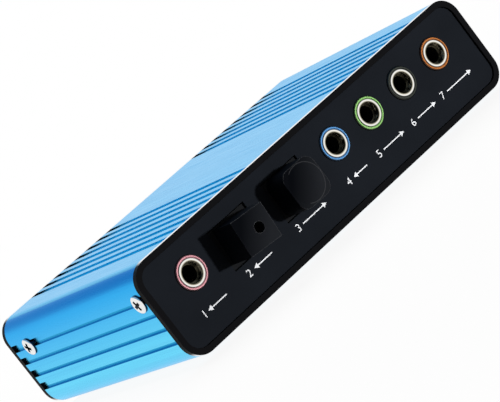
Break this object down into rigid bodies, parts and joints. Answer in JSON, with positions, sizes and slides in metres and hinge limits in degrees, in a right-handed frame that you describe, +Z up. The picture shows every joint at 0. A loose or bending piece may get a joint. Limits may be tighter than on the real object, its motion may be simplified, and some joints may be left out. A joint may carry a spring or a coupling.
{
  "type": "usb sound card",
  "caption": "Flat grooved aluminium box with black end plates, round audio jacks and capped optical sockets in front, and a USB inlet behind.",
  "frame": {"origin": "the middle of the bounding box at the underside of the feet", "axes": "+Z up, -Y towards the jacks in front, +X to the right seen from the front"},
  "size_m": [0.1024, 0.0756, 0.0234],
  "materials": {
    "aluminium_blue": "satin anodised, brushed lengthwise",
    "bezel_black": "satin moulded plastic",
    "panel_black": "satin black plate with white print",
    "board_green": "solder-masked board",
    "jack_black": "moulded plastic",
    "ring_pink": "moulded plastic",
    "ring_blue": "moulded plastic",
    "ring_green": "moulded plastic",
    "ring_black": "moulded plastic",
    "ring_amber": "moulded plastic",
    "nickel": "bright nickel plate",
    "contact": "gold-washed spring metal",
    "cap_black": "soft moulded rubber",
    "usb_white": "moulded plastic",
    "lamp": "tinted clear lens",
    "chip": "moulded package",
    "ceramic": "ceramic chip",
    "sleeve": "shrink sleeve",
    "foot_rubber": "matt rubber"
  },
  "bodies": {
    "root": {"housing": "aluminium_blue", "front_bezel": "bezel_black", "front_panel": "panel_black", "rear_bezel": "bezel_black", "rear_panel": "panel_black", "main_board": "board_green", "mic_in_body": "jack_black", "mic_in_ring": "ring_pink", "mic_in_bush": "nickel", "mic_in_springs": "contact", "line_in_body": "jack_black", "line_in_ring": "ring_blue", "line_in_bush": "nickel", "line_in_springs": "contact", "front_out_body": "jack_black", "front_out_ring": "ring_green", "front_out_bush": "nickel", "front_out_springs": "contact", "rear_out_body": "jack_black", "rear_out_ring": "ring_black", "rear_out_bush": "nickel", "rear_out_springs": "contact", "centre_out_body": "jack_black", "centre_out_ring": "ring_amber", "centre_out_bush": "nickel", "centre_out_springs": "contact", "optical_in_socket": "jack_black", "optical_out_socket": "jack_black", "optical_in_cap": "cap_black", "optical_out_cap": "cap_black", "usb_shell": "nickel", "usb_core": "usb_white", "usb_contacts": "contact", "indicator_lamp": "lamp", "audio_chip": "chip", "audio_chip_legs": "nickel", "crystal": "nickel", "regulator": "chip", "capacitors": "sleeve", "small_parts": "ceramic", "side_screws": "nickel", "rubber_feet": "foot_rubber"}
  },
  "joints": []
}
